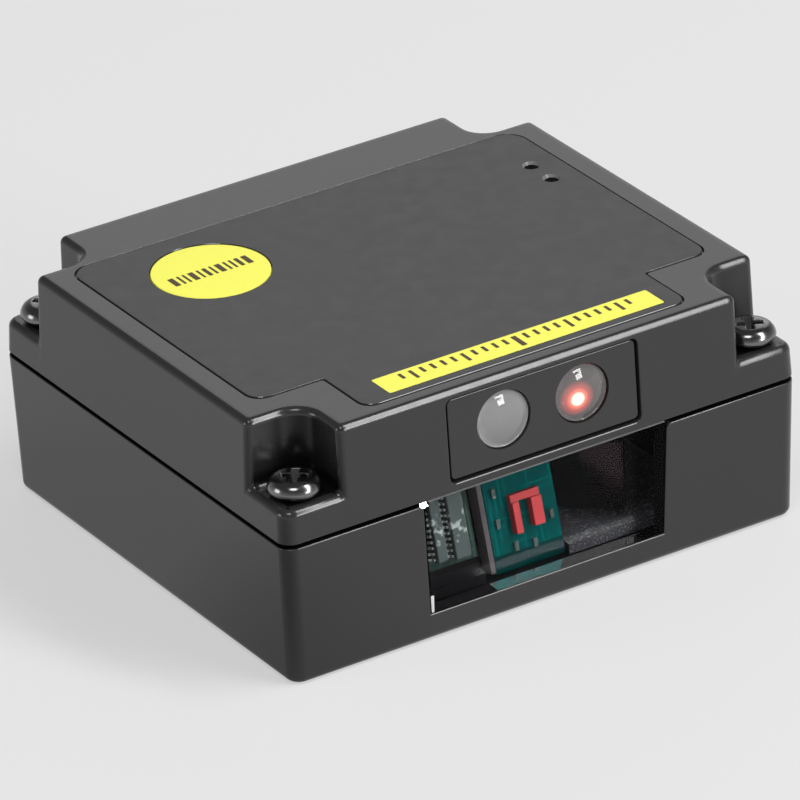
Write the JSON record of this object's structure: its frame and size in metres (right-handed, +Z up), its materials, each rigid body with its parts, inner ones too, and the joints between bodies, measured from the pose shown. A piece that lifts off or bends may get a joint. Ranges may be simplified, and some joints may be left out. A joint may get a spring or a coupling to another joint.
{
  "type": "laser scanner module",
  "caption": "Compact boxed laser line scanner with a front exit window, trigger sensor lenses, a membrane overlay with a round scan button, and corner screw pockets.",
  "frame": {"origin": "middle of the flat underside", "axes": "+Z up, +X to the right seen from the window side, the exit window faces -Y"},
  "size_m": [0.05, 0.0446, 0.022],
  "materials": {
    "housing": "dark grey satin paint on a die-cast shell",
    "overlay": "fine matt membrane film",
    "button_yellow": "satin",
    "black_plastic": "moulded",
    "screw_steel": "black nickel plated",
    "clear_lens": "clear moulded",
    "emitter_red": "tinted clear",
    "window_clear": "polished",
    "board_green": "solder mask",
    "board_teal": "solder mask",
    "clip_red": "moulded",
    "chip_black": "moulded epoxy",
    "part_grey": "moulded",
    "white_plastic": "moulded",
    "chassis": "black die-cast",
    "mirror_glass": "front-silvered",
    "brass": "turned",
    "copper": "enamelled wire",
    "magnet": "nickel plated",
    "filter_red": "polished",
    "rubber": "moulded",
    "ribbon": "flat flexible cable"
  },
  "bodies": {
    "housing": {"base_housing": "housing", "top_cover": "housing", "sensor_plate": "housing", "overlay_film": "overlay", "tact_switch": "chip_black", "cover_screw_front_left": "screw_steel", "cover_screw_front_right": "screw_steel", "cover_screw_rear_left": "screw_steel", "cover_screw_rear_right": "screw_steel", "receiver_lens": "clear_lens", "emitter_lens": "clear_lens", "sensor_holder": "black_plastic", "emitter_led": "emitter_red", "receiver_diode": "chip_black", "exit_window": "window_clear", "cable_bush": "rubber", "mount_insert_left": "brass", "mount_insert_right": "brass", "decoder_board": "board_green", "decoder_chip": "chip_black", "buzzer": "black_plastic", "cable_header": "white_plastic", "ribbon_socket": "white_plastic", "flex_ribbon": "ribbon", "board_screw_left": "screw_steel", "board_screw_right": "screw_steel", "board_screw_rear": "screw_steel", "status_led_front": "white_plastic", "status_led_rear": "white_plastic", "light_pipe_front": "clear_lens", "light_pipe_rear": "clear_lens", "optical_chassis": "chassis", "chassis_screw_left": "screw_steel", "chassis_screw_right": "screw_steel", "receiver_board": "board_teal", "filter_clip": "clip_red", "photodiode": "chip_black", "optical_filter": "filter_red", "signal_board": "board_green", "gain_chip": "part_grey", "driver_chip": "part_grey", "laser_barrel": "brass", "collimator_lens": "clear_lens", "laser_diode": "brass", "collector_mirror": "mirror_glass", "pivot_pin": "screw_steel", "pivot_clip": "screw_steel", "coil_bobbin": "black_plastic", "drive_coil": "copper"},
    "button": {"scan_button": "button_yellow"},
    "plunger": {"switch_plunger": "black_plastic"},
    "mirror": {"mirror_carrier": "black_plastic", "scan_mirror": "mirror_glass", "drive_magnet": "magnet"}
  },
  "joints": [
    {"name": "button_press", "type": "slide", "parent": "housing", "child": "button", "axis": [0, 0, -1], "range_m": [0, 0.0004], "stiffness_N_per_m": 2500},
    {"name": "plunger_press", "type": "slide", "parent": "housing", "child": "plunger", "axis": [0, 0, -1], "range_m": [0, 0.0004]},
    {"name": "mirror_swing", "type": "hinge", "parent": "housing", "child": "mirror", "pos_m": [0.009, -0.0128, 0.0066], "axis": [0, 0, 1], "range_deg": [-12, 12], "stiffness_Nm_per_rad": 0.0005}
  ],
  "couplings": [
    {"joint": "plunger_press", "follows": "button_press", "ratio": 1}
  ]
}
